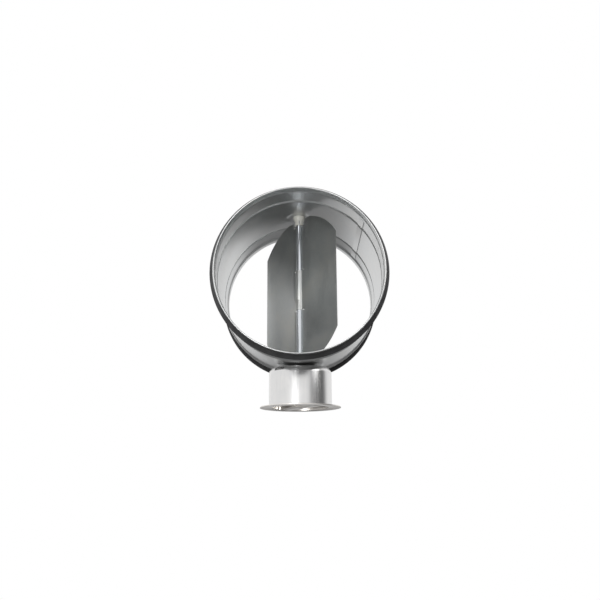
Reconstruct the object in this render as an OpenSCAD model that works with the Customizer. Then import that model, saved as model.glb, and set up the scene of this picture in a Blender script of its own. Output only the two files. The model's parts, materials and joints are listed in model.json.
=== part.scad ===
// Round airflow limiter for a ventilation duct: a rolled casing with a sealing lip at each end,
// a turning blade on an upright shaft, and a round handle below, held off the casing by a cup
// so that the insulation fits round it. Sizes in millimetres, +Y along the duct to its rear end,
// +Z away from the handle. The origin is where the shaft crosses the axis of the duct.

/* [Casing] */
// Bore of the duct that each end slides into
duct_d = 200; // [190:1:230]
// Play between the duct's bore and the casing, on the diameter
spigot_play = 0.6; // [0.4:0.1:1.0]
// Thickness of the casing sheet
sheet_t = 0.7; // [0.5:0.05:0.9]
// From the shaft to the front end
front_len = 102; // [95:1:130]
// From the shaft to the rear end
rear_len = 81; // [80.5:0.5:120]
// From each end to the middle of its stop bead
bead_set = 43.7; // [38:0.1:44]
// Width of a stop bead along the duct
bead_w = 6; // [4:0.5:7]
// Height of a stop bead over the casing
bead_h = 2; // [1:0.1:2.4]
// Width of the lap where the rolled sheet is joined
lap_w = 8; // [5:0.5:14]
// Where the lap lies, counted from +X towards +Z
lap_angle = 41; // [20:1:60]

/* [Sealing lips] */
// Width of the safe edge that is folded back at each end
hem_w = 7; // [5:0.5:9]
// Width of the groove that holds the gasket's foot
groove_w = 7; // [6:0.5:9]
// Depth of that groove
groove_depth = 0.8; // [0.5:0.1:1.2]
// How far a free lip reaches past the duct's bore, on the radius
lip_reach = 4.4; // [2:0.2:6]
// Thickness of a lip at its root
lip_t = 1; // [0.8:0.1:1.3]
// Spacing of the two lips of a gasket
lip_pitch = 2.8; // [2.4:0.1:3.2]
// How far a lip leans towards the middle of the casing
lip_lean = 2.8; // [1.5:0.1:3.2]

/* [Blade] */
// Gap between the blade's rim and the casing
rim_gap = 1.8; // [1.3:0.1:4]
// What the two upright side edges cut off the round blade
side_trim = 20; // [15:1:35]
// Gap between the blade's top edge and the casing, over the pad
top_gap = 5; // [4:0.5:8]
// Thickness of the blade sheet
blade_t = 0.75; // [0.6:0.05:1]
// Width of the notch round a bush
notch_w = 26; // [22:1:32]
// Length of the bridge that is pressed over the front of the shaft
bridge_len = 52; // [40:1:80]
// Bending radius beside the shaft
bend_r = 2.5; // [1.5:0.1:4]
// Length of the cut at each end of the bridge
cut_len = 22; // [20:1:34]
// Width of that cut
cut_w = 1.2; // [0.8:0.1:2]
// Width of the raised pad beside the upper notch
pad_w = 18; // [12:0.5:22]
// Height of the raised pad
pad_h = 9; // [6:0.5:12]
// How far below the duct's axis the bridge is crimped on the shaft
crimp_drop = 13.6; // [5:0.2:18]
// Turn of the blade from closed, as it stands here
blade_angle = 55; // [0:1:90]

/* [Shaft and bushes] */
// Diameter of the shaft
shaft_d = 8; // [7:0.5:9]
// Running clearance of the shaft in its bushes, on the radius
run_play = 0.05; // [0.02:0.01:0.1]
// Diameter of a bush's flange
flange_d = 15.5; // [15:0.5:20]
// Height of a bush's flange
flange_h = 5.5; // [4.5:0.5:8]
// Length of the split neck of a bush
neck_len = 6.5; // [4:0.5:10]
// Wall of the neck
neck_wall = 1.3; // [1:0.1:1.8]
// Wall of a bush where it passes through the sheet
nose_wall = 1.9; // [1.6:0.1:2.2]
// Radius of the flat that is pressed for the upper bush
top_seat_r = 13; // [12:0.5:16]
// Section of the sealing ring in the lower bush
seal_t = 1.5; // [1.2:0.1:1.6]
// Thickness of the retaining ring
clip_t = 0.7; // [0.5:0.1:1]

/* [Stand-off cup] */
// From the casing to the face of the handle: the thickness of the insulation
insulation = 50; // [45:1:80]
// Diameter of the cup
cup_d = 78; // [74:1:90]
// Thickness of the cup sheet
cup_t = 0.8; // [0.6:0.1:1]
// Radius of the cup's shoulder
shoulder_r = 8; // [7:0.5:10]
// Radius of the flat that is pressed for the cup
cup_seat_r = 24; // [23:0.5:28]
// How far a pressed flat stands out of the round casing
seat_rise = 0.5; // [0.3:0.1:1]
// Radius of the rivet circle
rivet_circle_r = 17; // [16.5:0.5:19]
// Diameter of a rivet
rivet_d = 3.2; // [2.4:0.2:4]
// Direction of the closing stop, counted from +X towards +Y
stop_dir = 240; // [200:1:260]
// Length of the cut that a stop tongue leaves in the shoulder
stop_cut_len = 16; // [10:1:18]
// Height of a stop tongue
stop_h = 3; // [2:0.5:4]

/* [Handle] */
// Diameter of the handle disc
disc_d = 100; // [92:1:120]
// Thickness of the disc sheet
disc_t = 1; // [0.8:0.1:1.2]
// Gap between the cup's rim and the disc
cup_gap = 1.3; // [0.8:0.1:3]
// Play between the pressed finger wells and the inside of the cup, on the radius
well_play = 1.7; // [0.8:0.1:3]
// Depth of the finger wells
well_depth = 14; // [8:1:20]
// Corner radius of a finger well
well_corner = 6; // [4:0.5:7]
// Width of the grip between the wells
grip_w = 14; // [12:0.5:20]
// Diameter of the hub
hub_d = 19; // [18:0.5:24]
// Square of the shaft's lower end
square_w = 6.4; // [6:0.1:6.6]
// Thread diameter of the handle screw
screw_d = 5; // [4:0.5:5]
// Length of the handle screw
screw_len = 25; // [20:1:30]
// Width of the stop lever
lever_w = 8; // [6:0.5:10]
// Thickness of the stop lever
lever_t = 1.5; // [1:0.1:2]
// Play between parts that are fitted and stand still, on each side
fit_play = 0.1; // [0.05:0.01:0.15]

/* [Hidden] */
$fn = 96;
eps = 0.01;

// Travel of the blade: closed is square across the duct, open is along it
close_turn = blade_angle;
open_turn = 90 - blade_angle;

// Radii of the casing
casing_r = (duct_d - spigot_play) / 2;
bore_r = casing_r - sheet_t;
fold_gap = 0.2;
body_mid = casing_r - sheet_t / 2;
rim_mid = body_mid - sheet_t - fold_gap;
groove_start = hem_w + 0.5;
groove_ramp = 0.8;
groove_end = groove_start + groove_w;
lip_tip_r = duct_d / 2 + lip_reach;

// Levels at the bushes and at the cup, as distances from the duct's axis
seat_out = casing_r + seat_rise;
seat_in = seat_out - sheet_t;
cup_base = seat_out + cup_t;
neck_end = seat_in - flange_h - neck_len;
face = casing_r + insulation;
disc_in = face - disc_t;
cup_rim = disc_in - cup_gap;
well_top = face - well_depth - disc_t;

// Shaft and bushes
shaft_r = shaft_d / 2;
bush_bore = shaft_r + run_play;
nose_r = bush_bore + nose_wall;
snap_h = 0.7;
snap_len = 1.8;
nose_tail = 2.3;
cap_t = 1.2;
shaft_top = seat_out + nose_tail - cap_t - 0.4;
clip_r = shaft_r + 2.8;
clip_land = 0.5;
clip_depth = neck_end - clip_t - fit_play;

// Parts under the cup's base, from the casing down
nose_end = cup_base + nose_tail;
washer_t = 0.8;
washer_depth = nose_end + fit_play;
washer_r = nose_r + 6;
lever_depth = washer_depth + washer_t + fit_play / 2;
hub_depth = lever_depth + lever_t + fit_play / 2;
shoulder_depth = lever_depth - fit_play / 2;
socket_end = hub_depth + 27;
shaft_end = socket_end - 0.5;
screw_head_d = 1.84 * screw_d;
screw_sink = (screw_head_d - screw_d) / 2;
lever_reach = cup_d / 2 - cup_t - 5;
tongue_in = lever_reach - 3.5;
lever_half_turn = asin(lever_w / 2 / tongue_in);
stop_depth = lever_depth + lever_t / 2;
stop_margin = 0.5;
lever_dir = stop_dir - close_turn - lever_half_turn - stop_margin;
open_stop_dir = lever_dir - open_turn - lever_half_turn - stop_margin;
cup_in_r = cup_d / 2 - cup_t;
well_r = cup_in_r - well_play - disc_t;

// Blade
blade_r = bore_r - rim_gap;
blade_half_w = blade_r - side_trim;
blade_half_h = bore_r - top_gap;
notch_floor = clip_depth - clip_land;
wrap_mid = shaft_r + fit_play / 2 + blade_t / 2;
bend_x = sqrt(pow(wrap_mid + bend_r, 2) - pow(bend_r, 2));
bend_turn = asin(bend_r / (wrap_mid + bend_r));
pad_rise = 0.5;

// Points round an arc from angle a to angle b
function arc(c, r, a, b, n) = [for (i = [0:n]) let (t = a + (b - a) * i / n) c + r * [cos(t), sin(t)]];

// Outline of a sheet of thickness t that follows the line p
function edge_normal(p, i) = let (d = p[i + 1] - p[i]) [-d[1], d[0]] / norm(d);
function mitre(p, i) =
    i == 0 ? edge_normal(p, 0) :
    i == len(p) - 1 ? edge_normal(p, i - 1) :
    let (a = edge_normal(p, i - 1), b = edge_normal(p, i)) (a + b) / (1 + a * b);
function sheet_outline(p, t) = concat(
    [for (i = [0:len(p) - 1]) p[i] + mitre(p, i) * t / 2],
    [for (i = [len(p) - 1:-1:0]) p[i] - mitre(p, i) * t / 2]);

// One end of the casing wall, as [radius, distance from the end]:
// safe edge, fold, groove of the gasket, step up to the body, stop bead
function inner_run() = concat(
    [[rim_mid, groove_start], [rim_mid - groove_depth, groove_start + groove_ramp],
     [rim_mid - groove_depth, groove_end], [body_mid, groove_end + 2]],
    [for (i = [0:12]) let (a = -180 + 30 * i)
        [body_mid + bead_h * (1 + cos(a)) / 2, bead_set + bead_w / 2 * a / 180]]);
function end_run() = concat(
    [[body_mid, hem_w]],
    arc([(body_mid + rim_mid) / 2, sheet_t + fold_gap / 2], (body_mid - rim_mid) / 2, 0, -180, 8),
    inner_run());
function wall_run(run) = concat(
    [for (p = run) [p[0], p[1] - front_len]],
    [for (i = [len(run) - 1:-1:0]) [run[i][0], rear_len - run[i][1]]]);

// Turns an outline of [radius, place along the duct] round the duct's axis
module round_the_duct() {
    rotate([-90, 0, 0]) rotate_extrude($fn = 144) children();
}

// A flat that is pressed outwards for a bush, with its round step
module pressed_flat(r) {
    reach = seat_out - sqrt(pow(bore_r, 2) - pow(r + sheet_t, 2)) + 1;
    difference() {
        translate([0, 0, seat_out - reach]) cylinder(r = r + sheet_t, h = reach);
        rotate([90, 0, 0]) cylinder(r = bore_r, h = 4 * r, center = true, $fn = 144);
    }
}
module pressed_flat_inside(r) {
    translate([0, 0, seat_in - r]) cylinder(r = r, h = r);
}

// The lap follows the wall inside, as a second layer of the sheet
module lap() {
    lap_run = wall_run(concat([[body_mid, groove_end + 4]], [for (i = [4:16]) inner_run()[i]]));
    intersection() {
        round_the_duct()
            polygon(sheet_outline([for (p = lap_run) p - [sheet_t - 0.05, 0]], sheet_t));
        rotate([0, -lap_angle, 0])
            translate([bore_r / 2, -front_len, -lap_w / 2])
                cube([bore_r, front_len + rear_len, lap_w]);
    }
}

module rivet_places() {
    for (a = [45:90:315]) rotate([0, 0, a]) translate([rivet_circle_r, 0, 0]) children();
}

module casing() {
    color([0.74, 0.75, 0.76]) difference() {
        union() {
            round_the_duct() polygon(sheet_outline(wall_run(end_run()), sheet_t));
            lap();
            pressed_flat(top_seat_r);
            rotate([180, 0, 0]) pressed_flat(cup_seat_r);
        }
        pressed_flat_inside(top_seat_r);
        rotate([180, 0, 0]) pressed_flat_inside(cup_seat_r);
        translate([0, 0, -seat_out - 1])
            cylinder(r = nose_r + fit_play, h = 2 * seat_out + 2);
        rivet_places() translate([0, 0, -seat_out - 1])
            cylinder(d = rivet_d + 2 * fit_play, h = sheet_t + 2, $fn = 32);
    }
}

// Foot in the groove, and two lips that lean towards the middle of the casing
module gasket_outline() {
    foot_in = rim_mid - groove_depth + sheet_t / 2 + fit_play;
    foot_out = foot_in + 1.3;
    foot_start = hem_w + 2 * fit_play;
    foot_end = groove_end - 0.3;
    step_r = rim_mid + sheet_t / 2 + fit_play;
    tip = 0.6;
    function lip(root) = [
        [foot_out, root + lip_t], [lip_tip_r - tip / 2, root + lip_lean + tip],
        [lip_tip_r, root + lip_lean + tip / 2], [lip_tip_r - tip / 2, root + lip_lean],
        [foot_out, root]];
    polygon(concat(
        [[foot_out, foot_start], [step_r, foot_start], [step_r, groove_start],
         [foot_in, groove_start + groove_ramp + fit_play], [foot_in, foot_end], [foot_out, foot_end]],
        lip(foot_start + 0.4 + lip_pitch), lip(foot_start + 0.4)));
}
module front_gasket() {
    color([0.06, 0.06, 0.065])
        translate([0, -front_len, 0]) round_the_duct() gasket_outline();
}
module rear_gasket() {
    color([0.06, 0.06, 0.065])
        translate([0, rear_len, 0]) mirror([0, 1, 0]) round_the_duct() gasket_outline();
}

// Snap-in bush, +Z out of the casing, with the flange's face at zero. It grips sheets of
// thickness stack, and a closed one has a cap over the end of the shaft.
module bush(stack, closed) {
    total = stack + nose_tail;
    neck_r = bush_bore + neck_wall;
    difference() {
        rotate_extrude() polygon([
            [0, -flange_h - neck_len], [neck_r, -flange_h - neck_len],
            [neck_r, -flange_h], [flange_d / 2 - 1.6, -flange_h],
            [flange_d / 2 - 0.4, -flange_h + 2.4], [flange_d / 2, -1.2], [flange_d / 2, 0],
            [nose_r, 0], [nose_r, stack + fit_play / 2], [nose_r + snap_h, stack + fit_play / 2],
            [nose_r, stack + snap_len], [nose_r, total], [0, total]]);
        translate([0, 0, -flange_h - neck_len - 1])
            cylinder(r = bush_bore, h = flange_h + neck_len + total + 1 - (closed ? cap_t : -1));
        for (a = [0, 90]) rotate([0, 0, a])
            translate([-neck_r - 1, -0.6, -flange_h - neck_len - 1])
                cube([2 * neck_r + 2, 1.2, neck_len + 1]);
    }
}
module upper_bush() {
    color([0.86, 0.86, 0.80]) translate([0, 0, seat_in]) bush(sheet_t, true);
}
seal_mid = bush_bore + seal_t / 2;
seal_depth = seat_in - flange_h / 2;
module lower_bush() {
    color([0.86, 0.86, 0.80]) difference() {
        rotate([180, 0, 0]) translate([0, 0, seat_in]) bush(sheet_t + cup_t, false);
        translate([0, 0, -seal_depth - seal_t / 2 - fit_play])
            cylinder(r = seal_mid + seal_t / 2 + fit_play, h = seal_t + 2 * fit_play);
    }
}
module shaft_seal() {
    color([0.08, 0.08, 0.08]) translate([0, 0, -seal_depth])
        rotate_extrude() translate([seal_mid, 0]) circle(d = seal_t, $fn = 32);
}

// Drawn cup, closed end on the casing, with a pierced and bent tongue at each end of the travel
module cup_profile(grow) {
    top = seat_out - grow;
    r = cup_d / 2 + grow;
    bend = shoulder_r + grow;
    translate([0, -cup_rim]) square([r, cup_rim - top - bend]);
    translate([0, -top - bend]) square([r - bend, bend]);
    translate([r - bend, -top - bend]) circle(r = bend);
}
module stop_cut(side) {
    turn = stop_cut_len / (cup_d / 2) * 180 / PI;
    translate([0, 0, -stop_depth - stop_h / 2]) rotate([0, 0, side < 0 ? -turn : 0])
        rotate_extrude(angle = turn) translate([tongue_in, 0]) square([cup_d / 2, stop_h]);
}
module stop_tongue(side) {
    intersection() {
        translate([tongue_in, side > 0 ? -cup_t : 0, -stop_depth - stop_h / 2])
            cube([cup_d / 2 - tongue_in, cup_t, stop_h]);
        rotate_extrude() cup_profile(-cup_t / 2);
    }
}
module stand_off_cup() {
    color([0.78, 0.78, 0.78]) {
        difference() {
            rotate_extrude() difference() {
                cup_profile(0);
                cup_profile(-cup_t);
                translate([0, -cup_rim - 1]) square([cup_in_r, 2]);
            }
            translate([0, 0, -cup_base - 1]) cylinder(r = nose_r + fit_play, h = cup_t + 2);
            rivet_places() translate([0, 0, -cup_base - 1])
                cylinder(d = rivet_d + 2 * fit_play, h = cup_t + 2, $fn = 32);
            rotate([0, 0, stop_dir]) stop_cut(-1);
            rotate([0, 0, open_stop_dir]) stop_cut(1);
        }
        rotate([0, 0, stop_dir]) stop_tongue(-1);
        rotate([0, 0, open_stop_dir]) stop_tongue(1);
    }
}

// Blind rivets: domed head in the casing, formed tail under the cup's base
module cup_rivets() {
    color([0.82, 0.82, 0.83]) rivet_places() {
        translate([0, 0, -cup_base - 2.2])
            cylinder(d = rivet_d, h = 2.2 + cup_t + sheet_t + 0.6, $fn = 32);
        translate([0, 0, -cup_base - 2.2]) cylinder(d1 = rivet_d, d2 = rivet_d * 1.6, h = 0.8, $fn = 32);
        translate([0, 0, -cup_base - 1.4]) cylinder(d = rivet_d * 1.6, h = 1.4 - eps, $fn = 32);
        translate([0, 0, -seat_in + eps]) cylinder(d1 = rivet_d * 2, d2 = rivet_d, h = 1, $fn = 32);
    }
}

// Cross section of the blade where it wraps one side of the shaft
module wrapped_sheet(side) {
    bend = [bend_x, bend_r];
    half = concat(
        [[blade_half_w + 1, 0]],
        arc(bend, bend_r, 270, 180 + bend_turn, 6),
        arc([0, 0], wrap_mid, bend_turn + 8, 90, 10));
    line = concat(half, [for (i = [len(half) - 2:-1:0]) [-half[i][0], half[i][1]]]);
    mirror([0, side < 0 ? 1 : 0]) polygon(sheet_outline(line, blade_t));
}
module blade_outline() {
    difference() {
        intersection() {
            circle(r = blade_r, $fn = 144);
            square([2 * blade_half_w, 2 * blade_half_h], center = true);
        }
        for (side = [0, 1]) mirror([0, side])
            translate([-notch_w / 2, notch_floor]) square([notch_w, blade_r]);
    }
}
module blade() {
    channel_len = blade_half_h - bridge_len / 2 - cut_w;
    color([0.62, 0.64, 0.64]) rotate([0, 0, -blade_angle]) difference() {
        intersection() {
            union() {
                translate([0, 0, -bridge_len / 2]) linear_extrude(bridge_len) wrapped_sheet(-1);
                for (side = [0, 1]) mirror([0, 0, side])
                    translate([0, 0, bridge_len / 2 + cut_w])
                        linear_extrude(channel_len) wrapped_sheet(1);
                for (side = [0, 1]) mirror([side, 0, 0])
                    translate([cut_len / 2, -blade_t / 2, -blade_half_h])
                        cube([blade_half_w, blade_t, 2 * blade_half_h]);
                translate([notch_w / 2, -blade_t / 2 - pad_rise, blade_half_h - pad_h])
                    cube([pad_w, blade_t, pad_h]);
            }
            rotate([90, 0, 0]) linear_extrude(4 * wrap_mid, center = true) blade_outline();
        }
        translate([notch_w / 2 - 1, blade_t / 2 - pad_rise, blade_half_h - pad_h + blade_t])
            cube([pad_w + 1 - blade_t, blade_t, pad_h]);
        translate([0, -wrap_mid - blade_t, -crimp_drop])
            rotate([0, 90, 0]) cylinder(r = 0.8, h = 2 * shaft_d, center = true, $fn = 24);
    }
}

module square_hole(w, depth, h) {
    rotate([0, 0, -blade_angle]) translate([-w / 2, -w / 2, -depth - h]) cube([w, w, h]);
}
module shaft() {
    color([0.72, 0.73, 0.75]) difference() {
        union() {
            translate([0, 0, -shoulder_depth])
                cylinder(r = shaft_r, h = shaft_top + shoulder_depth - 0.5);
            translate([0, 0, shaft_top - 0.5])
                cylinder(r1 = shaft_r, r2 = shaft_r - 0.5, h = 0.5);
            intersection() {
                translate([0, 0, -shaft_end]) cylinder(r = shaft_r, h = shaft_end - shoulder_depth + 1);
                square_hole(square_w, shoulder_depth - 1, shaft_end - shoulder_depth + 1);
            }
        }
        difference() {
            translate([0, 0, -clip_depth - clip_t - fit_play / 2])
                cylinder(r = shaft_r + 1, h = clip_t + fit_play);
            translate([0, 0, -clip_depth - clip_t - 1])
                cylinder(r = shaft_r - 0.6, h = clip_t + 2);
        }
        translate([0, 0, -shaft_end - 1])
            cylinder(d = screw_d + fit_play, h = screw_len - (face - shaft_end) + 3, $fn = 32);
    }
}
module retaining_ring() {
    color([0.30, 0.30, 0.31]) rotate([0, 0, -blade_angle]) difference() {
        translate([0, 0, -clip_depth - clip_t]) cylinder(r = clip_r, h = clip_t);
        translate([0, 0, -clip_depth - clip_t - 1])
            cylinder(r = shaft_r - 0.6 + fit_play / 2, h = clip_t + 2);
        translate([0, -shaft_r + 1.2, -clip_depth - clip_t - 1])
            cube([clip_r + 1, 2 * shaft_r - 2.4, clip_t + 2]);
    }
}

// Wave spring between the cup's base and the thrust washer, three waves round
wave_n = 48;
wave_t = 0.5;
wave_in = nose_r + snap_h + 0.6;
wave_top = cup_base + fit_play;
wave_bottom = washer_depth - fit_play / 2;
module wave_spring() {
    swing = (wave_bottom - wave_top - wave_t) / 2;
    middle = (wave_bottom + wave_top) / 2;
    function level(i) = -middle + swing * cos(3 * 360 * i / wave_n);
    points = [for (i = [0:wave_n - 1]) for (c = [[wave_in, 1], [washer_r, 1], [washer_r, -1], [wave_in, -1]])
        [c[0] * cos(360 * i / wave_n), c[0] * sin(360 * i / wave_n), level(i) + c[1] * wave_t / 2]];
    faces = [for (i = [0:wave_n - 1]) for (k = [0:3])
        let (j = (i + 1) % wave_n, m = (k + 1) % 4) [4 * i + k, 4 * j + k, 4 * j + m, 4 * i + m]];
    color([0.35, 0.36, 0.38]) polyhedron(points, faces, convexity = 6);
}
module thrust_washer() {
    color([0.70, 0.70, 0.70]) difference() {
        translate([0, 0, -washer_depth - washer_t]) cylinder(r = washer_r, h = washer_t);
        translate([0, 0, -washer_depth - washer_t - 1])
            cylinder(r = shaft_r + fit_play, h = washer_t + 2);
    }
}
module stop_lever() {
    color([0.68, 0.69, 0.70]) difference() {
        union() {
            translate([0, 0, -lever_depth - lever_t]) cylinder(r = washer_r, h = lever_t);
            rotate([0, 0, lever_dir]) {
                translate([0, -lever_w / 2, -lever_depth - lever_t])
                    cube([lever_reach - lever_w / 2, lever_w, lever_t]);
                translate([lever_reach - lever_w / 2, 0, -lever_depth - lever_t])
                    cylinder(d = lever_w, h = lever_t, $fn = 48);
            }
        }
        square_hole(square_w + 2 * fit_play, lever_depth - 1, lever_t + 2);
    }
}

// Hub on the shaft's square, with two flats that fit between the walls of the wells
module handle_hub() {
    flats = grip_w - 2 * disc_t - 2 * fit_play;
    color([0.60, 0.61, 0.62]) difference() {
        translate([0, 0, -disc_in]) cylinder(d = hub_d, h = disc_in - hub_depth);
        for (a = [0, 180]) rotate([0, 0, a - blade_angle])
            translate([-hub_d, flats / 2, -disc_in - 1])
                cube([2 * hub_d, hub_d, disc_in - well_top + fit_play + 1]);
        square_hole(square_w + 2 * fit_play, hub_depth - 1, socket_end - hub_depth + 1);
        translate([0, 0, -disc_in - 1]) cylinder(d = screw_d + 4 * fit_play, h = disc_in - socket_end + 2);
        screw_seat();
    }
}
module screw_seat() {
    wide = screw_head_d / 2 + fit_play;
    translate([0, 0, -face - eps]) cylinder(r1 = wide + eps, r2 = wide - screw_sink, h = screw_sink + eps);
}

// Half-moon with a straight side at distance m from the middle and rounded corners
function half_moon(r, m, corner) =
    let (x = sqrt(pow(r - corner, 2) - pow(m + corner, 2)), turn = atan2(m + corner, x))
    concat(arc([x, m + corner], corner, -90, turn, 8), arc([0, 0], r, turn + 4, 176 - turn, 24),
           arc([-x, m + corner], corner, 180 - turn, 270, 8));

// Pressed disc: two finger wells leave a grip between them, with a slot past each end of it
module handle_disc() {
    color([0.80, 0.79, 0.77]) rotate([0, 0, -blade_angle]) difference() {
        union() {
            translate([0, 0, -face]) cylinder(d = disc_d, h = disc_t, $fn = 144);
            for (a = [0, 180]) rotate([0, 0, a]) translate([0, 0, -face])
                linear_extrude(well_depth + disc_t)
                    polygon(half_moon(well_r + disc_t, grip_w / 2 - disc_t, well_corner + disc_t));
        }
        for (a = [0, 180]) rotate([0, 0, a]) {
            translate([0, 0, -face - 1]) linear_extrude(well_depth + 1)
                polygon(half_moon(well_r, grip_w / 2, well_corner));
            grip_slot();
        }
        screw_seat();
        translate([0, 0, -face - 1]) cylinder(d = screw_d + 4 * fit_play, h = disc_t + 2);
    }
}
slot_w = 4.5;
slot_len = 11;
module grip_slot() {
    translate([well_r - slot_w / 2 - 0.3, 0, -face - 1]) {
        translate([-slot_w / 2, (slot_w - slot_len) / 2, 0]) cube([slot_w, slot_len - slot_w, disc_t + 2]);
        for (side = [-1, 1]) translate([0, side * (slot_len - slot_w) / 2, 0])
            cylinder(d = slot_w, h = disc_t + 2, $fn = 32);
    }
}

module handle_screw() {
    color([0.75, 0.75, 0.72]) difference() {
        union() {
            translate([0, 0, -face + fit_play]) cylinder(d = screw_d, h = screw_len - fit_play, $fn = 48);
            translate([0, 0, -face + fit_play / 2])
                cylinder(d1 = screw_head_d - fit_play, d2 = screw_d, h = screw_sink);
        }
        for (a = [0, 90]) rotate([0, 0, a - blade_angle])
            translate([-screw_d / 2, -0.5, -face - 1]) cube([screw_d, 1, 2.2]);
    }
}

casing();
front_gasket();
rear_gasket();
upper_bush();
lower_bush();
shaft_seal();
stand_off_cup();
cup_rivets();
blade();
shaft();
retaining_ring();
wave_spring();
thrust_washer();
stop_lever();
handle_hub();
handle_disc();
handle_screw();
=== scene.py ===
"""Looks of the airflow limiter: rolled casing, sealing lips, blade, shaft, stand-off cup, disc handle."""

import json
from math import asin, atan2, cos, degrees, hypot, pi, radians, sin, sqrt

import bmesh
import bpy
from mathutils import Matrix, Vector


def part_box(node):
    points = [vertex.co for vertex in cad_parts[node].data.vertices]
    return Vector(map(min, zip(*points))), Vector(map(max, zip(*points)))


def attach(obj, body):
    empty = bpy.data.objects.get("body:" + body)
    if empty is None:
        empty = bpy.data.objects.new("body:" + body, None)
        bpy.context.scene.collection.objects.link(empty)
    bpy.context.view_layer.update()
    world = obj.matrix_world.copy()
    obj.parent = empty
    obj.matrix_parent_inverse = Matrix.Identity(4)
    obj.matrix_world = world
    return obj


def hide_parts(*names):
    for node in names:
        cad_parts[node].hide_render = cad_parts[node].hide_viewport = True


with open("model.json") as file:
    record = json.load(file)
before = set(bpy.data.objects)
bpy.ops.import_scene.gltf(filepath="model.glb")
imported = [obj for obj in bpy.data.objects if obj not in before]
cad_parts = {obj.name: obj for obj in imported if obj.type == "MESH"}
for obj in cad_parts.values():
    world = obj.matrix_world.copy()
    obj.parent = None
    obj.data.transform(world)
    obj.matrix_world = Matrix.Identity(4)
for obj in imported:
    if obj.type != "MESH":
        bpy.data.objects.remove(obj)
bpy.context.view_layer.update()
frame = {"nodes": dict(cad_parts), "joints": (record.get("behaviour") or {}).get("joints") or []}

MM = 0.001

# Shapes are drawn in millimetres and made metres when a piece is finished.
# What the frame gives: ends and radii of the pieces that the looks are built round
HOUSING = "housing"
DAMPER = "damper"


def extent(node):
    """Lowest and highest corner of a CAD node, in millimetres."""
    low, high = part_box(node)
    return low / MM, high / MM


casing_low, casing_high = extent("casing")
cup_low, cup_high = extent("stand_off_cup")
disc_low, disc_high = extent("handle_disc")
blade_low, blade_high = extent("blade")
shaft_low, shaft_high = extent("shaft")
gasket_low, gasket_high = extent("front_gasket")
BLADE_TURN = frame["joints"][0]["range_deg"][1]

# Rolled sheet of the casing
SHEET = 0.7
BEAD_RISE = 2.0
BEAD_WIDTH = 6.0
BEAD_SET = 43.7
HEM_WIDTH = 7.0
FOLD_GAP = 0.2
GROOVE_WIDTH = 7.0
GROOVE_DEPTH = 0.8
GROOVE_RAMP = 0.8
LAP_WIDTH = 8.0
LAP_ANGLE = 41.0
FRONT_END = casing_low.y
REAR_END = casing_high.y
CASING_R = casing_high.x - BEAD_RISE
WALL_R = CASING_R - SHEET / 2
RIM_R = WALL_R - SHEET - FOLD_GAP
GROOVE_START = HEM_WIDTH + 0.5
GROOVE_END = GROOVE_START + GROOVE_WIDTH

# Flats that are pressed for the bush and for the cup
SEAT_RISE = 0.5
SEAT_LEVEL = CASING_R + SEAT_RISE - SHEET / 2
TOP_SEAT_R = 13.0
CUP_SEAT_R = 24.0
BUSH_HOLE_R = 6.05
RIVET_CIRCLE_R = 17.0
RIVET_HOLE_R = 1.7

# Cup, handle disc and blade
CUP_SHEET = 0.8
CUP_R = cup_high.x
CUP_TOP = cup_high.z
CUP_RIM = cup_low.z
SHOULDER_R = 8.0
STOP_DEPTH = 105.0
STOP_HEIGHT = 3.0
STOP_CUT = 16.0
STOP_CLOSED = 240.0
STOP_OPEN = 133.5
TONGUE_IN = 29.7
DISC_SHEET = 1.0
DISC_R = disc_high.x
FACE = disc_low.z
WELL_R = 35.5
WELL_DEPTH = 14.0
WELL_CORNER = 6.0
GRIP_WIDTH = 14.0
SLOT_WIDTH = 4.5
SLOT_LENGTH = 11.0
SLOT_X = WELL_R - SLOT_WIDTH / 2 - 0.3
BLADE_SHEET = 0.75
BLADE_R = 97.2
BLADE_HALF_W = 77.2
BLADE_HALF_H = blade_high.z
NOTCH_HALF_W = 13.0
NOTCH_FLOOR = 86.2
BRIDGE_HALF = 26.0
CUT_WIDTH = 0.8
CUT_HALF = 11.0
BEND_R = 2.5
PAD_WIDTH = 18.0
PAD_HEIGHT = 9.0
PAD_RISE = 0.5
PAD_END = NOTCH_HALF_W + PAD_WIDTH
CRIMP_Z = -13.6
SHAFT_R = shaft_high.x
WRAP_R = SHAFT_R + 0.05 + BLADE_SHEET / 2


# Materials

def linear(code):
    """An sRGB hex value as the linear colour that a shader takes."""
    channels = [int(code[i:i + 2], 16) / 255 for i in (0, 2, 4)]
    return [c / 12.92 if c <= 0.04045 else ((c + 0.055) / 1.055) ** 2.4 for c in channels] + [1.0]


def add(tree, kind, settings=None, inputs=None):
    """Adds a node with its settings, and gives each input a value or a link."""
    made = tree.nodes.new("ShaderNode" + kind)
    for name, value in (settings or {}).items():
        setattr(made, name, value)
    for name, value in (inputs or {}).items():
        if isinstance(value, bpy.types.NodeSocket):
            tree.links.new(value, made.inputs[name])
        else:
            made.inputs[name].default_value = value
    return made


def start_material(name, constants):
    """A new material: its node tree, its shader with the constants set, and its object coordinates."""
    material = bpy.data.materials.new(name)
    material.use_nodes = True
    tree = material.node_tree
    shader = tree.nodes["Principled BSDF"]
    for socket, value in constants.items():
        shader.inputs[socket].default_value = value
    place = add(tree, "TexCoord").outputs["Object"]
    return material, tree, shader, place


def set_ramp(ramp, stops):
    """Gives a colour ramp its stops: (position, hex value)."""
    elements = ramp.color_ramp.elements
    while len(elements) < len(stops):
        elements.new(0.5)
    for element, (position, code) in zip(elements, stops):
        element.position = position
        element.color = linear(code)


def per_metre(size_mm):
    """Scale of a texture whose features are that many millimetres across."""
    return 1 / (size_mm * MM)


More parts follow.
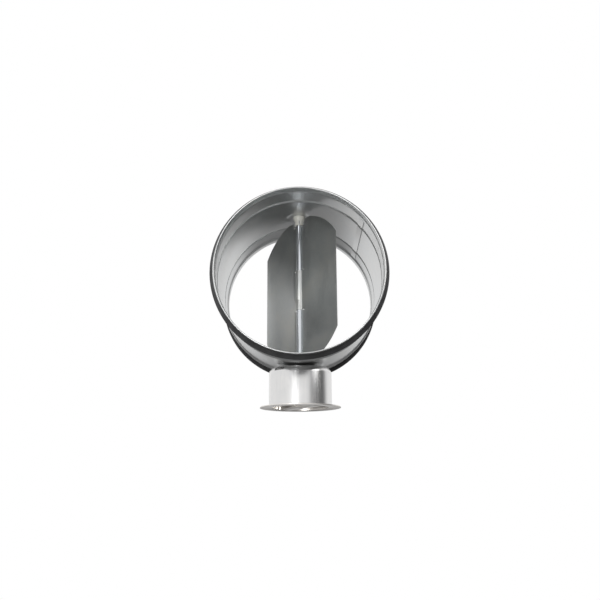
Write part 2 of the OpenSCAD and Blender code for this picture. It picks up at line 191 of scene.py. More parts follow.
def galvanised(name, tones, rough, spangle_mm, cloud_mm):
    """Hot-dip galvanised sheet: zinc crystals that catch the light a little apart, under soft clouds."""
    material, tree, shader, place = start_material(name, {"Metallic": 1.0})
    crystals = add(tree, "TexVoronoi", {"feature": "F1"},
                   {"Vector": place, "Scale": per_metre(spangle_mm), "Randomness": 1.0})
    clouds = add(tree, "TexNoise", {}, {"Vector": place, "Scale": per_metre(cloud_mm), "Detail": 4.0,
                                        "Roughness": 0.55, "Distortion": 0.3})
    grey = add(tree, "SeparateColor", {}, {"Color": crystals.outputs["Color"]})
    blend = add(tree, "Mix", {"data_type": "FLOAT"},
                {"Factor": 0.93, "A": grey.outputs["Red"], "B": clouds.outputs["Fac"]})
    ramp = add(tree, "ValToRGB", {}, {"Fac": blend.outputs["Result"]})
    set_ramp(ramp, tones)
    grain = add(tree, "TexNoise", {}, {"Vector": place, "Scale": per_metre(0.9), "Detail": 3.0})
    shine = add(tree, "MapRange", {}, {"Value": blend.outputs["Result"], "From Min": 0.3, "From Max": 0.7,
                                       "To Min": rough[0], "To Max": rough[1]})
    relief = add(tree, "Bump", {}, {"Strength": 0.10, "Distance": 0.03 * MM, "Height": grain.outputs["Fac"]})
    facets = add(tree, "Bump", {}, {"Strength": 0.06, "Distance": 0.02 * MM,
                                    "Height": crystals.outputs["Distance"],
                                    "Normal": relief.outputs["Normal"]})
    tree.links.new(ramp.outputs["Color"], shader.inputs["Base Color"])
    tree.links.new(shine.outputs["Result"], shader.inputs["Roughness"])
    tree.links.new(facets.outputs["Normal"], shader.inputs["Normal"])
    return material


def drawn_galvanised_steel():
    """Deep-drawn galvanised steel: the die leaves fine upright lines, so the light breaks into bands."""
    material, tree, shader, place = start_material("drawn_galvanised_steel", {"Metallic": 1.0})
    along = add(tree, "Mapping", {}, {"Vector": place, "Scale": (1.0, 1.0, 0.03)})
    lines = add(tree, "TexNoise", {}, {"Vector": along.outputs["Vector"], "Scale": per_metre(1.4),
                                       "Detail": 5.0, "Roughness": 0.6})
    clouds = add(tree, "TexNoise", {}, {"Vector": place, "Scale": per_metre(14), "Detail": 3.0})
    blend = add(tree, "Mix", {"data_type": "FLOAT"},
                {"Factor": 0.4, "A": lines.outputs["Fac"], "B": clouds.outputs["Fac"]})
    ramp = add(tree, "ValToRGB", {}, {"Fac": blend.outputs["Result"]})
    set_ramp(ramp, [(0.3, "D3D3D4"), (0.7, "E3E2E0")])
    shine = add(tree, "MapRange", {}, {"Value": lines.outputs["Fac"], "From Min": 0.3, "From Max": 0.7,
                                       "To Min": 0.20, "To Max": 0.28})
    relief = add(tree, "Bump", {}, {"Strength": 0.07, "Distance": 0.05 * MM, "Height": lines.outputs["Fac"]})
    tree.links.new(ramp.outputs["Color"], shader.inputs["Base Color"])
    tree.links.new(shine.outputs["Result"], shader.inputs["Roughness"])
    tree.links.new(relief.outputs["Normal"], shader.inputs["Normal"])
    return material


def plated_steel(name, tones, rough, stretch, line_mm):
    """Zinc-plated steel: bright and even, with faint lines the way it was drawn, rolled or turned."""
    material, tree, shader, place = start_material(name, {"Metallic": 1.0})
    along = add(tree, "Mapping", {}, {"Vector": place, "Scale": stretch})
    lines = add(tree, "TexNoise", {}, {"Vector": along.outputs["Vector"], "Scale": per_metre(line_mm),
                                       "Detail": 4.0, "Roughness": 0.6})
    ramp = add(tree, "ValToRGB", {}, {"Fac": lines.outputs["Fac"]})
    set_ramp(ramp, tones)
    shine = add(tree, "MapRange", {}, {"Value": lines.outputs["Fac"], "From Min": 0.3, "From Max": 0.7,
                                       "To Min": rough[0], "To Max": rough[1]})
    relief = add(tree, "Bump", {}, {"Strength": 0.12, "Distance": 0.03 * MM, "Height": lines.outputs["Fac"]})
    tree.links.new(ramp.outputs["Color"], shader.inputs["Base Color"])
    tree.links.new(shine.outputs["Result"], shader.inputs["Roughness"])
    tree.links.new(relief.outputs["Normal"], shader.inputs["Normal"])
    return material


def die_cast_zinc():
    """Die-cast zinc alloy: a dull, slightly pebbled casting skin."""
    material, tree, shader, place = start_material("die_cast_zinc", {"Metallic": 0.9})
    pebbles = add(tree, "TexNoise", {}, {"Vector": place, "Scale": per_metre(0.7), "Detail": 3.0})
    patches = add(tree, "TexNoise", {}, {"Vector": place, "Scale": per_metre(9), "Detail": 2.0})
    ramp = add(tree, "ValToRGB", {}, {"Fac": patches.outputs["Fac"]})
    set_ramp(ramp, [(0.3, "8E8F90"), (0.7, "A6A6A5")])
    shine = add(tree, "MapRange", {}, {"Value": patches.outputs["Fac"], "To Min": 0.42, "To Max": 0.58})
    relief = add(tree, "Bump", {}, {"Strength": 0.35, "Distance": 0.08 * MM, "Height": pebbles.outputs["Fac"]})
    tree.links.new(ramp.outputs["Color"], shader.inputs["Base Color"])
    tree.links.new(shine.outputs["Result"], shader.inputs["Roughness"])
    tree.links.new(relief.outputs["Normal"], shader.inputs["Normal"])
    return material


def natural_polyamide():
    """Moulded natural polyamide: milky, a little waxy, with the flow of the melt just showing."""
    material, tree, shader, place = start_material("natural_polyamide", {"IOR": 1.53})
    flow = add(tree, "TexNoise", {}, {"Vector": place, "Scale": per_metre(5), "Detail": 3.0,
                                      "Distortion": 0.8})
    skin = add(tree, "TexNoise", {}, {"Vector": place, "Scale": per_metre(0.5), "Detail": 2.0})
    ramp = add(tree, "ValToRGB", {}, {"Fac": flow.outputs["Fac"]})
    set_ramp(ramp, [(0.3, "DEDDD4"), (0.7, "E9E8E0")])
    shine = add(tree, "MapRange", {}, {"Value": flow.outputs["Fac"], "To Min": 0.30, "To Max": 0.44})
    relief = add(tree, "Bump", {}, {"Strength": 0.15, "Distance": 0.03 * MM, "Height": skin.outputs["Fac"]})
    tree.links.new(ramp.outputs["Color"], shader.inputs["Base Color"])
    tree.links.new(shine.outputs["Result"], shader.inputs["Roughness"])
    tree.links.new(relief.outputs["Normal"], shader.inputs["Normal"])
    return material


def epdm_rubber():
    """Extruded EPDM: black, half matt, with a faint dusty bloom and lines along the extrusion."""
    material, tree, shader, place = start_material("epdm_rubber", {"IOR": 1.5})
    bloom = add(tree, "TexNoise", {}, {"Vector": place, "Scale": per_metre(11), "Detail": 5.0})
    across = add(tree, "Mapping", {}, {"Vector": place, "Scale": (0.04, 1.0, 0.04)})
    lines = add(tree, "TexNoise", {}, {"Vector": across.outputs["Vector"], "Scale": per_metre(0.6),
                                       "Detail": 2.0})
    ramp = add(tree, "ValToRGB", {}, {"Fac": bloom.outputs["Fac"]})
    set_ramp(ramp, [(0.35, "2B2B2C"), (0.75, "3D3D3E")])
    shine = add(tree, "MapRange", {}, {"Value": bloom.outputs["Fac"], "To Min": 0.42, "To Max": 0.66})
    relief = add(tree, "Bump", {}, {"Strength": 0.3, "Distance": 0.06 * MM, "Height": lines.outputs["Fac"]})
    tree.links.new(ramp.outputs["Color"], shader.inputs["Base Color"])
    tree.links.new(shine.outputs["Result"], shader.inputs["Roughness"])
    tree.links.new(relief.outputs["Normal"], shader.inputs["Normal"])
    return material


casing_zinc = galvanised("hot_dip_galvanised_sheet", [(0.3, "BFC1C2"), (0.5, "C9CACA"), (0.7, "D2D2D1")],
                         (0.28, 0.36), 3, 40)
blade_zinc = galvanised("blade_galvanised_sheet", [(0.3, "B9BCBC"), (0.5, "C4C6C5"), (0.7, "CDCDC9")],
                        (0.36, 0.46), 3, 50)
cup_zinc = drawn_galvanised_steel()
disc_zinc = plated_steel("satin_zinc_plated_sheet", [(0.3, "DCD8D3"), (0.7, "E8E5E1")], (0.26, 0.34),
                         (1.0, 1.0, 1.0), 1.2)
rod_zinc = plated_steel("bright_drawn_rod", [(0.3, "C9CDD2"), (0.7, "E2E5E8")], (0.10, 0.18),
                        (1.0, 1.0, 0.02), 0.8)
small_zinc = plated_steel("plated_small_parts", [(0.3, "B5B6B5"), (0.7, "CECDC9")], (0.22, 0.34),
                          (1.0, 1.0, 1.0), 0.8)
spring_steel = plated_steel("oiled_spring_steel", [(0.3, "4A4C50"), (0.7, "66686B")], (0.26, 0.40),
                            (1.0, 1.0, 1.0), 0.8)
hub_zinc = die_cast_zinc()
polyamide = natural_polyamide()
rubber = epdm_rubber()


# Shaping

def wire(bm, points):
    """A line of edges through the points."""
    verts = [bm.verts.new(p) for p in points]
    for pair in zip(verts, verts[1:]):
        bm.edges.new(pair)
    return verts


def round_corners(bm, verts, reach, steps):
    """Rounds corners of a line. The bend starts that far from the corner."""
    bmesh.ops.bevel(bm, geom=verts, offset=reach, offset_type="OFFSET", segments=steps, profile=0.5,
                    affect="VERTICES", material=-1, clamp_overlap=True)


def sweep(bm, axis, marks, step):
    """Turns all that is in the mesh round an axis through the origin, with a row at each angle in marks."""
    last = bm.verts[:] + bm.edges[:]
    for start, end in zip(marks, marks[1:]):
        steps = max(1, round((end - start) / step))
        made = bmesh.ops.spin(bm, geom=last, cent=(0, 0, 0), axis=axis, angle=radians(end - start),
                              steps=steps, use_merge=False, use_duplicate=False)
        last = made["geom_last"]
    bmesh.ops.remove_doubles(bm, verts=bm.verts, dist=1e-4)


def turn(bm, angle, axis="Z"):
    bmesh.ops.rotate(bm, cent=(0, 0, 0), matrix=Matrix.Rotation(radians(angle), 3, axis), verts=bm.verts)


def make_piece(bm, name, material, body, nodes, sheet=None, crease=35):
    """Finishes a piece: gives the sheet its thickness, smooths it and lets it stand for its CAD nodes."""
    bmesh.ops.recalc_face_normals(bm, faces=bm.faces)
    bmesh.ops.scale(bm, vec=(MM, MM, MM), verts=bm.verts)
    mesh = bpy.data.meshes.new(name)
    bm.to_mesh(mesh)
    bm.free()
    piece = bpy.data.objects.new(name, mesh)
    bpy.context.scene.collection.objects.link(piece)
    if sheet:
        thicken = piece.modifiers.new("sheet", "SOLIDIFY")
        thicken.thickness = sheet * MM
        thicken.offset = 0
        thicken.use_even_offset = True
        thicken.use_quality_normals = True
        baked = bpy.data.meshes.new_from_object(piece.evaluated_get(bpy.context.evaluated_depsgraph_get()))
        piece.modifiers.clear()
        piece.data = baked
    piece.data.polygons.foreach_set("use_smooth", [True] * len(piece.data.polygons))
    piece.data.set_sharp_from_angle(angle=radians(crease))
    piece.data.materials.clear()
    piece.data.materials.append(material)
    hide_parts(*nodes)
    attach(piece, body)
    return piece


# Casing

def wall_end(side):
    """Line of the wall from a folded edge to past its stop bead, as (radius, place along the duct)."""
    end = FRONT_END if side < 0 else REAR_END
    fold = SHEET / 2
    half = BEAD_WIDTH / 2
    run = [(WALL_R, HEM_WIDTH), (WALL_R, fold), (RIM_R, fold), (RIM_R, GROOVE_START),
           (RIM_R - GROOVE_DEPTH, GROOVE_START + GROOVE_RAMP), (RIM_R - GROOVE_DEPTH, GROOVE_END),
           (WALL_R, GROOVE_END + 2), (WALL_R, BEAD_SET - half), (WALL_R + BEAD_RISE, BEAD_SET - half / 3),
           (WALL_R + BEAD_RISE, BEAD_SET + half / 3), (WALL_R, BEAD_SET + half)]
    return [(r, 0, end - side * y) for r, y in run]


def wall_line(bm):
    """The whole line of the wall in the plane z = 0, with its corners bent and a row every few mm."""
    front = [Vector((x, z, 0)) for x, _, z in wall_end(-1)]
    rear = [Vector((x, z, 0)) for x, _, z in wall_end(1)]
    verts = wire(bm, front + rear[::-1])
    folds = [verts[i] for i in (1, 2, 19, 20)]
    bends = [verts[i] for i in range(3, 19)]
    round_corners(bm, folds, (WALL_R - RIM_R) / 2, 4)
    round_corners(bm, bends, 0.8, 3)
    middle = max(bm.edges, key=lambda e: e.calc_length())
    bmesh.ops.subdivide_edges(bm, edges=[middle], cuts=44)


def press_flat(bm, side, radius, blend):
    """Presses the wall flat round the shaft, and lets the flat run out over a soft step."""
    for v in bm.verts:
        reach = hypot(v.co.x, v.co.y)
        if v.co.z * side > 0 and reach < radius + blend:
            share = min(1, (radius + blend - reach) / blend)
            share = share * share * (3 - 2 * share)
            v.co.z = side * (abs(v.co.z) * (1 - share) + SEAT_LEVEL * share)


def pierce(bm, centre, radius, clear):
    """Cuts a round hole in a flat stretch of the sheet."""
    centre = Vector(centre)
    near = [f for f in bm.faces if (f.calc_center_median() - centre).length < clear]
    bmesh.ops.delete(bm, geom=near, context="FACES")
    edge = [e for e in bm.edges if e.is_boundary
            and ((e.verts[0].co + e.verts[1].co) / 2 - centre).length < clear + 3]
    made = bmesh.ops.create_circle(bm, radius=radius, segments=40, matrix=Matrix.Translation(centre))
    rim = {e for v in made["verts"] for e in v.link_edges}
    bmesh.ops.bridge_loops(bm, edges=edge + list(rim))


def build_casing():
    bm = bmesh.new()
    wall_line(bm)
    sweep(bm, (0, -1, 0), [0, 70, 110, 245, 295, 360], 1.25)
    press_flat(bm, 1, TOP_SEAT_R, 4)
    press_flat(bm, -1, CUP_SEAT_R, 5)
    for side in (-1, 1):
        pierce(bm, (0, 0, side * SEAT_LEVEL), BUSH_HOLE_R, BUSH_HOLE_R + 2.5)
    for k in range(4):
        angle = radians(45 + 90 * k)
        pierce(bm, (RIVET_CIRCLE_R * cos(angle), RIVET_CIRCLE_R * sin(angle), -SEAT_LEVEL),
               RIVET_HOLE_R, RIVET_HOLE_R + 1.8)
    add_lap(bm)
    return make_piece(bm, "rolled_casing", casing_zinc, HOUSING, ["casing"], SHEET)


def add_lap(bm):
    """The lap: a second layer of the sheet inside, over a few millimetres, from bead to bead."""
    layer = bmesh.new()
    half = BEAD_WIDTH / 2
    lift = SHEET - 0.02
    places = [GROOVE_END + 4, BEAD_SET - half, BEAD_SET - half / 3, BEAD_SET + half / 3, BEAD_SET + half]
    rises = [0, 0, BEAD_RISE, BEAD_RISE, 0]
    front = [(WALL_R - lift + rise, FRONT_END + y, 0) for rise, y in zip(rises, places)]
    rear = [(WALL_R - lift + rise, REAR_END - y, 0) for rise, y in zip(rises, places)]
    verts = wire(layer, front + rear[::-1])
    round_corners(layer, verts[1:-1], 0.8, 3)
    width = degrees(LAP_WIDTH / WALL_R)
    sweep(layer, (0, -1, 0), [0, width], 0.8)
    turn(layer, -(LAP_ANGLE - width / 2), "Y")
    mesh = bpy.data.meshes.new("lap")
    layer.to_mesh(mesh)
    layer.free()
    bm.from_mesh(mesh)
    bpy.data.meshes.remove(mesh)


# Sealing lips

def build_gasket(side, name, node):
    """Foot in the groove and two lips that lean towards the middle of the casing."""
    end = FRONT_END if side < 0 else REAR_END
    tip = gasket_high.x
    inner = RIM_R - GROOVE_DEPTH + SHEET / 2 + 0.1
    outer = inner + 1.3
    start = HEM_WIDTH + 0.2
    first, second = start + 0.4, start + 3.2
    lean = 2.8
    outline = [(outer, start), (RIM_R + SHEET / 2 + 0.1, start), (RIM_R + SHEET / 2 + 0.1, GROOVE_START),
               (inner, GROOVE_START + GROOVE_RAMP + 0.1), (inner, GROOVE_END - 0.3),
               (outer, GROOVE_END - 0.3)]
    for root in (second, first):
        outline += [(outer, root + 1), (tip - 0.3, root + lean + 0.6), (tip, root + lean + 0.3),
                    (tip - 0.3, root + lean), (outer, root)]
    bm = bmesh.new()
    verts = wire(bm, [(r, end - side * y, 0) for r, y in outline])
    bm.edges.new((verts[-1], verts[0]))
    round_corners(bm, verts[4:], 0.22, 2)
    sweep(bm, (0, -1, 0), [0, 360], 1.5)
    return make_piece(bm, name, rubber, HOUSING, [node])


# Cup

def build_cup():
    """Drawn cup: base against the casing, round shoulder, straight wall, two pierced and bent tongues."""
    bm = bmesh.new()
    mid = CUP_SHEET / 2
    wall = CUP_R - mid
    top = CUP_TOP - mid
    centre = (wall - SHOULDER_R, top - SHOULDER_R)
    cut = [-STOP_DEPTH + STOP_HEIGHT / 2, -STOP_DEPTH - STOP_HEIGHT / 2]
    # the shoulder has a row at the top and at the bottom of the pierced cuts
    bend = [90, *(degrees(asin((z - centre[1]) / SHOULDER_R)) for z in cut), 0]
    angles = [bend[0]]
    for a, b in zip(bend, bend[1:]):
        steps = max(2, round((a - b) / 9))
        angles += [a + (b - a) * i / steps for i in range(1, steps + 1)]
    line = [(BUSH_HOLE_R, 0, top), (12.5, 0, top), (21.5, 0, top)]
    line += [(centre[0] + SHOULDER_R * cos(radians(a)), 0, centre[1] + SHOULDER_R * sin(radians(a)))
             for a in angles]
    line += [(wall, 0, CUP_RIM + 12), (wall, 0, CUP_RIM)]
    wire(bm, line)
    span = degrees(STOP_CUT / CUP_R)
    marks = [0, STOP_OPEN, STOP_OPEN + span, STOP_CLOSED - span, STOP_CLOSED, 360]
    sweep(bm, (0, 0, 1), marks, 2)

    def in_cut(point, low, high):
        angle = degrees(atan2(point.y, point.x)) % 360
        return low < angle < high and cut[1] < point.z < cut[0] and hypot(point.x, point.y) > TONGUE_IN

    gone = [f for f in bm.faces if in_cut(f.calc_center_median(), marks[1], marks[2])
            or in_cut(f.calc_center_median(), marks[3], marks[4])]
    bmesh.ops.delete(bm, geom=gone, context="FACES")
    for angle in (STOP_OPEN, STOP_CLOSED):
        bend_tongue(bm, angle, cut)
    for k in range(4):
        angle = radians(45 + 90 * k)
        pierce(bm, (RIVET_CIRCLE_R * cos(angle), RIVET_CIRCLE_R * sin(angle), top), RIVET_HOLE_R,
               RIVET_HOLE_R + 1.8)
    return make_piece(bm, "drawn_cup", cup_zinc, HOUSING, ["stand_off_cup"], CUP_SHEET)


def bend_tongue(bm, angle, cut):
    """Turns the pierced strip inwards at one end of its cut."""
    out = Vector((cos(radians(angle)), sin(radians(angle)), 0))
    side = Vector((-out.y, out.x, 0))
    root = [e for e in bm.edges if e.is_boundary
            and all(abs(v.co.dot(side)) < 0.01 and v.co.dot(out) > TONGUE_IN for v in e.verts)
            and all(cut[1] - 0.01 < v.co.z < cut[0] + 0.01 for v in e.verts)]
    made = bmesh.ops.extrude_edge_only(bm, edges=root)
    for v in made["geom"]:
        if isinstance(v, bmesh.types.BMVert):
            v.co = out * TONGUE_IN + Vector((0, 0, v.co.z))


# Handle disc

def half_moon(bm, level):
    """Outline of a finger well: straight beside the grip, round along the cup, with round corners."""
    line = GRIP_WIDTH / 2
    reach = WELL_R
    top = [(reach * cos(a), reach * sin(a), level)
           for a in (asin(line / reach) + (pi - 2 * asin(line / reach)) * i / 36 for i in range(37))]
    verts = wire(bm, top)
    bm.edges.new((verts[-1], verts[0]))
    bmesh.ops.bevel(bm, geom=[verts[0], verts[-1]], offset=WELL_CORNER * 1.05, offset_type="OFFSET",
                    segments=8, profile=0.5, affect="VERTICES", material=-1, clamp_overlap=False)


def build_disc():
    """Pressed disc: rim, two finger wells with a grip between them, and a slot past each end of the grip."""
    bm = bmesh.new()
    level = FACE + DISC_SHEET / 2
    rim = bmesh.ops.create_circle(bm, radius=DISC_R, segments=180, matrix=Matrix.Translation((0, 0, level)))
    hole = bmesh.ops.create_circle(bm, radius=2.8, segments=32, matrix=Matrix.Translation((0, 0, level)))
    outline = bmesh.new()
    half_moon(outline, level)
    well = bpy.data.meshes.new("well")
    outline.to_mesh(well)
    outline.free()
    loops = []
    for angle in (0, 180):
        before = set(bm.edges)
        bm.from_mesh(well)
        loop = [e for e in bm.edges if e not in before]
        verts = list({v for e in loop for v in e.verts})
        bmesh.ops.rotate(bm, cent=(0, 0, 0), matrix=Matrix.Rotation(radians(angle), 3, "Z"), verts=verts)
        loops.append(loop)
    bpy.data.meshes.remove(well)
    for side in (-1, 1):
        cut_slot(bm, side, level)
    bmesh.ops.triangle_fill(bm, use_beauty=True, use_dissolve=False, edges=bm.edges[:], normal=(0, 0, -1))
    inside = [f for f in bm.faces if in_hole(f.calc_center_median())]
    bmesh.ops.delete(bm, geom=inside, context="FACES_ONLY")
    press_wells(bm, loops)
    turn(bm, -BLADE_TURN)
    return make_piece(bm, "pressed_disc_handle", disc_zinc, DAMPER, ["handle_disc"],
                      DISC_SHEET, crease=50)


def cut_slot(bm, side, level):
    """Outline of a slot with round ends, past one end of the grip."""
    run = (SLOT_LENGTH - SLOT_WIDTH) / 2
    points = []
    for end in (1, -1):
        for i in range(9):
            a = radians(180 * i / 8) + (0 if end > 0 else pi)
            points.append((side * SLOT_X + SLOT_WIDTH / 2 * cos(a), end * run + SLOT_WIDTH / 2 * sin(a), level))
    verts = wire(bm, points)
    bm.edges.new((verts[-1], verts[0]))


def in_hole(p):
    """True over the finger wells, the slots and the screw hole."""
    if hypot(p.x, p.y) < 2.8:
        return True
    if abs(abs(p.x) - SLOT_X) < SLOT_WIDTH / 2 and abs(p.y) < (SLOT_LENGTH - SLOT_WIDTH) / 2:
        return True
    ends = hypot(abs(p.x) - SLOT_X, abs(p.y) - (SLOT_LENGTH - SLOT_WIDTH) / 2) < SLOT_WIDTH / 2
    corner = abs(p.x) > sqrt((WELL_R - WELL_CORNER) ** 2 - (GRIP_WIDTH / 2 + WELL_CORNER) ** 2) \
        and abs(p.y) < GRIP_WIDTH / 2 + WELL_CORNER and hypot(
            abs(p.x) - sqrt((WELL_R - WELL_CORNER) ** 2 - (GRIP_WIDTH / 2 + WELL_CORNER) ** 2),
            abs(p.y) - GRIP_WIDTH / 2 - WELL_CORNER) > WELL_CORNER
    return ends or (abs(p.y) > GRIP_WIDTH / 2 and hypot(p.x, p.y) < WELL_R and not corner)


def press_wells(bm, loops):
    """Draws each well up into the cup and rounds its lip and its floor."""
    for loop in loops:
        loop = [e for e in loop if e.is_valid]
        wall = bmesh.ops.extrude_edge_only(bm, edges=loop)["geom"]
        verts = [g for g in wall if isinstance(g, bmesh.types.BMVert)]
        bmesh.ops.translate(bm, vec=(0, 0, WELL_DEPTH), verts=verts)
        floor_edges = [g for g in wall if isinstance(g, bmesh.types.BMEdge)
                       and all(v in verts for v in g.verts)]
        bmesh.ops.edgeloop_fill(bm, edges=floor_edges)
        lips = [e for e in loop + floor_edges if e.is_valid and len(e.link_faces) == 2]
        bmesh.ops.bevel(bm, geom=lips, offset=1.2, offset_type="OFFSET", segments=4, profile=0.5,
                        affect="EDGES", material=-1, clamp_overlap=True)


# Blade

def wrap_line(side):
    """Half section of the blade round the shaft, from the plate to the crown, in the plate's own plane."""
    x = sqrt((WRAP_R + BEND_R) ** 2 - BEND_R ** 2)
    start = degrees(asin(BEND_R / (WRAP_R + BEND_R)))
    foot = [(x + BEND_R * cos(radians(a)), BEND_R + BEND_R * sin(radians(a)))
            for a in (270 + (180 + start - 270) * i / 6 for i in range(7))]
    crown = [(WRAP_R * cos(radians(a)), WRAP_R * sin(radians(a)))
             for a in (start + (90 - start) * i / 12 for i in range(1, 13))]
    half = [(CUT_HALF, 0), *foot, *crown]
    full = half + [(-x, y) for x, y in half[-2::-1]]
    return [(x, side * y) for x, y in full]


def wrap_strip(bm, side, levels):
    """A stretch of the blade that is pressed over the shaft, with a row at each level."""
    points = wrap_line(side)
    rows = wire(bm, [(x, y, levels[0]) for x, y in points])
    edges = list({e for v in rows for e in v.link_edges})
    for low, high in zip(levels, levels[1:]):
        made = bmesh.ops.extrude_edge_only(bm, edges=edges)["geom"]
        verts = [g for g in made if isinstance(g, bmesh.types.BMVert)]
        bmesh.ops.translate(bm, vec=(0, 0, high - low), verts=verts)
        edges = [g for g in made if isinstance(g, bmesh.types.BMEdge) and all(v in verts for v in g.verts)]


def plate(bm, side):
    """One flat half of the blade, cut round to the casing, straight at its side and notched at the bushes."""
    start = degrees(asin(BLADE_HALF_H / BLADE_R))
    end = degrees(asin(sqrt(BLADE_R ** 2 - BLADE_HALF_W ** 2) / BLADE_R))
    rim = [(BLADE_R * cos(radians(a)), BLADE_R * sin(radians(a)))
           for a in (start + (end - start) * i / 16 for i in range(17))]
    notch = [(CUT_HALF, BRIDGE_HALF), (CUT_HALF, BRIDGE_HALF + CUT_WIDTH), (CUT_HALF, NOTCH_FLOOR),
             (NOTCH_HALF_W, NOTCH_FLOOR)]
    plain = notch + [(NOTCH_HALF_W, BLADE_HALF_H)] + rim
    upper = notch + pad_foot() + [p for p in rim if p[0] > PAD_END] if side > 0 else plain
    lower = [(x, -z) for x, z in plain][::-1]
    bm.faces.new([bm.verts.new((side * x, 0, z)) for x, z in upper + lower])
    if side > 0:
        raise_pad(bm, rim)


def rim_level(x):
    return sqrt(BLADE_R ** 2 - x ** 2)


def pad_foot():
    """Where the step of the raised pad leaves the plate, from the notch to the rim."""
    low = BLADE_HALF_H - PAD_HEIGHT
    return [(NOTCH_HALF_W, low), (PAD_END, low), (PAD_END, rim_level(PAD_END))]


def raise_pad(bm, rim):
    """The pad beside the upper notch: pressed forward over a short slope."""
    step = 0.8
    near, far = NOTCH_HALF_W, PAD_END - step
    low = BLADE_HALF_H - PAD_HEIGHT + step
    foot = [bm.verts.new((x, 0, z)) for x, z in pad_foot()]
    edge = [bm.verts.new((x, -PAD_RISE, z)) for x, z in [(near, low), (far, low), (far, rim_level(far))]]
    crown = [bm.verts.new((x, -PAD_RISE, z)) for x, z in rim[::-1] + [(near, BLADE_HALF_H)] if x < far]
    bm.faces.new(edge + crown)
    for i in range(2):
        bm.faces.new((foot[i], foot[i + 1], edge[i + 1], edge[i]))


def build_blade():
    """One sheet: two flat halves, a bridge in front of the shaft and a channel behind it above and below."""
    bm = bmesh.new()
    crimp = [CRIMP_Z - 0.9, CRIMP_Z, CRIMP_Z + 0.9]
    wrap_strip(bm, -1, [-BRIDGE_HALF, *crimp, BRIDGE_HALF])
    for v in bm.verts:
        if abs(v.co.z - CRIMP_Z) < 0.01 and abs(v.co.x) < SHAFT_R:
            v.co.y += 0.4
    wrap_strip(bm, 1, [BRIDGE_HALF + CUT_WIDTH, NOTCH_FLOOR])
    wrap_strip(bm, 1, [-NOTCH_FLOOR, -BRIDGE_HALF - CUT_WIDTH])
    for side in (-1, 1):
        plate(bm, side)
    bmesh.ops.remove_doubles(bm, verts=bm.verts, dist=0.01)
    turn(bm, -BLADE_TURN)
    return make_piece(bm, "blade_sheet", blade_zinc, DAMPER, ["blade"], BLADE_SHEET)


# CAD nodes whose shape is right keep it and get their finish
FINISHES = {
    "upper_bush": polyamide, "lower_bush": polyamide, "shaft_seal": rubber, "cup_rivets": small_zinc,
    "shaft": rod_zinc, "retaining_ring": spring_steel, "wave_spring": spring_steel,
    "thrust_washer": small_zinc, "stop_lever": small_zinc, "handle_hub": hub_zinc,
    "handle_screw": small_zinc,
}


def finish_cad_nodes():
    for name, material in FINISHES.items():
        node = frame["nodes"][name]
        if not node.material_slots:
            node.data.materials.append(material)
        for place in node.material_slots:
            place.material = material


# Stage: the part stands on its handle, and the camera looks at it from a little below that level

def build_floor():
    """A pale floor that shows only from above, because the camera is under it."""
    bm = bmesh.new()
    bmesh.ops.create_grid(bm, x_segments=1, y_segments=1, size=4)
    bmesh.ops.translate(bm, vec=(0, 0, disc_low.z * MM), verts=bm.verts)
    mesh = bpy.data.meshes.new("floor")
    bm.to_mesh(mesh)
    bm.free()
    floor = bpy.data.objects.new("floor", mesh)
    bpy.context.scene.collection.objects.link(floor)
    material = bpy.data.materials.new("pale_floor")
    material.use_nodes = True
    tree = material.node_tree
    tree.nodes.clear()
    top = add(tree, "BsdfDiffuse", {}, {"Color": linear("F2F2F2")})
    clear = add(tree, "BsdfTransparent")
    under = add(tree, "NewGeometry").outputs["Backfacing"]
    pick = add(tree, "MixShader", {}, {0: under, 1: top.outputs["BSDF"], 2: clear.outputs["BSDF"]})
    out = add(tree, "OutputMaterial")
    tree.links.new(pick.outputs["Shader"], out.inputs["Surface"])
    mesh.materials.append(material)
    floor.visible_glossy = False
    floor.visible_diffuse = False
    floor.visible_shadow = False


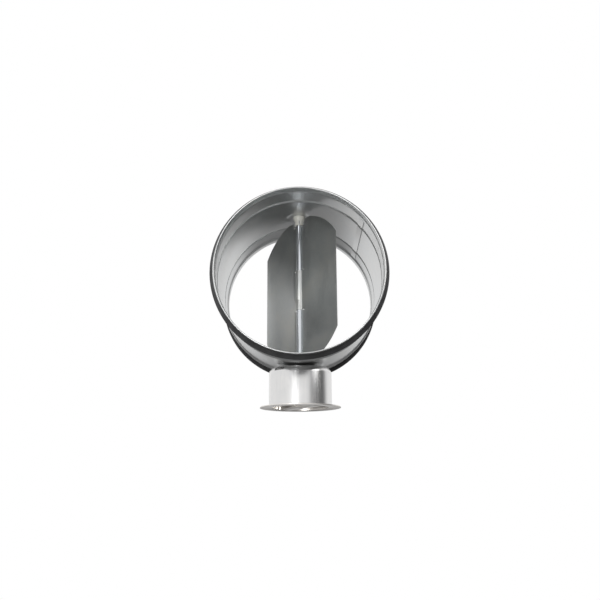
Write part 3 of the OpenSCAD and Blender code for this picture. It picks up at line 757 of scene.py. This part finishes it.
def build_world():
    """White behind the part, and a soft room for the metal: bright in front, dim low down and to the right."""
    world = bpy.data.worlds.new("studio")
    bpy.context.scene.world = world
    world.use_nodes = True
    tree = world.node_tree
    tree.nodes.clear()
    toward = add(tree, "TexCoord").outputs["Generated"]
    split = add(tree, "SeparateXYZ", {}, {"Vector": toward})
    low = add(tree, "MapRange", {"interpolation_type": "SMOOTHSTEP"},
              {"Value": split.outputs["Z"], "From Min": -0.30, "From Max": 0.02, "To Min": 0.22, "To Max": 1.0})
    right = add(tree, "VectorMath", {"operation": "DOT_PRODUCT"}, {0: toward, 1: (0.94, -0.34, 0.0)})
    flag = add(tree, "MapRange", {"interpolation_type": "SMOOTHSTEP"},
               {"Value": right.outputs["Value"], "From Min": 0.70, "From Max": 0.96, "To Min": 1.0, "To Max": 0.12})
    room = add(tree, "Math", {"operation": "MULTIPLY"}, {0: low.outputs["Result"], 1: flag.outputs["Result"]})
    rays = add(tree, "LightPath")
    seen = add(tree, "Mix", {"data_type": "FLOAT"},
               {"Factor": rays.outputs["Is Camera Ray"], "A": room.outputs["Value"], "B": 1.0})
    sky = add(tree, "Background", {}, {"Color": (1, 1, 1, 1), "Strength": seen.outputs["Result"]})
    out = add(tree, "OutputWorld")
    tree.links.new(sky.outputs["Background"], out.inputs["Surface"])


def build_lamp(name, place, target, size, power):
    lamp = bpy.data.lights.new(name, "AREA")
    lamp.shape = "DISK"
    lamp.size = size
    lamp.energy = power
    holder = bpy.data.objects.new(name, lamp)
    holder.location = place
    holder.rotation_euler = (Vector(target) - Vector(place)).to_track_quat("-Z", "Y").to_euler()
    bpy.context.scene.collection.objects.link(holder)


def build_camera():
    """The photograph's view: from in front and a little below, looking up at the part."""
    data = bpy.data.cameras.new("camera")
    camera = bpy.data.objects.new("camera", data)
    bpy.context.scene.collection.objects.link(camera)
    data.sensor_width = 36
    data.lens = 42.74
    data.clip_start = 0.01
    yaw, pitch, roll = radians(-0.03), radians(14.10), radians(-0.40)
    ahead = Vector((sin(yaw) * cos(pitch), cos(yaw) * cos(pitch), sin(pitch)))
    level = Vector((cos(yaw), -sin(yaw), 0))
    up = level.cross(ahead)
    right = level * cos(roll) + up * sin(roll)
    top = up * cos(roll) - level * sin(roll)
    turned = Matrix((right, top, -ahead)).transposed().to_4x4()
    camera.matrix_world = Matrix.Translation((0.0008, -0.8837, -0.2344)) @ turned
    bpy.context.scene.camera = camera


build_casing()
build_gasket(-1, "front_lip_seal", "front_gasket")
build_gasket(1, "rear_lip_seal", "rear_gasket")
build_cup()
build_disc()
build_blade()
finish_cad_nodes()
build_floor()
build_world()
build_lamp("key", (-0.7, -1.1, 1.2), (0, 0, 0), 0.9, 9)
build_lamp("fill", (0.9, -0.6, 0.5), (0, 0, 0), 0.8, 4)
build_lamp("low_front", (-0.45, -1.3, -0.35), (0, 0, 0.05), 0.6, 6)
build_camera()
bpy.context.scene.view_settings.view_transform = "Standard"
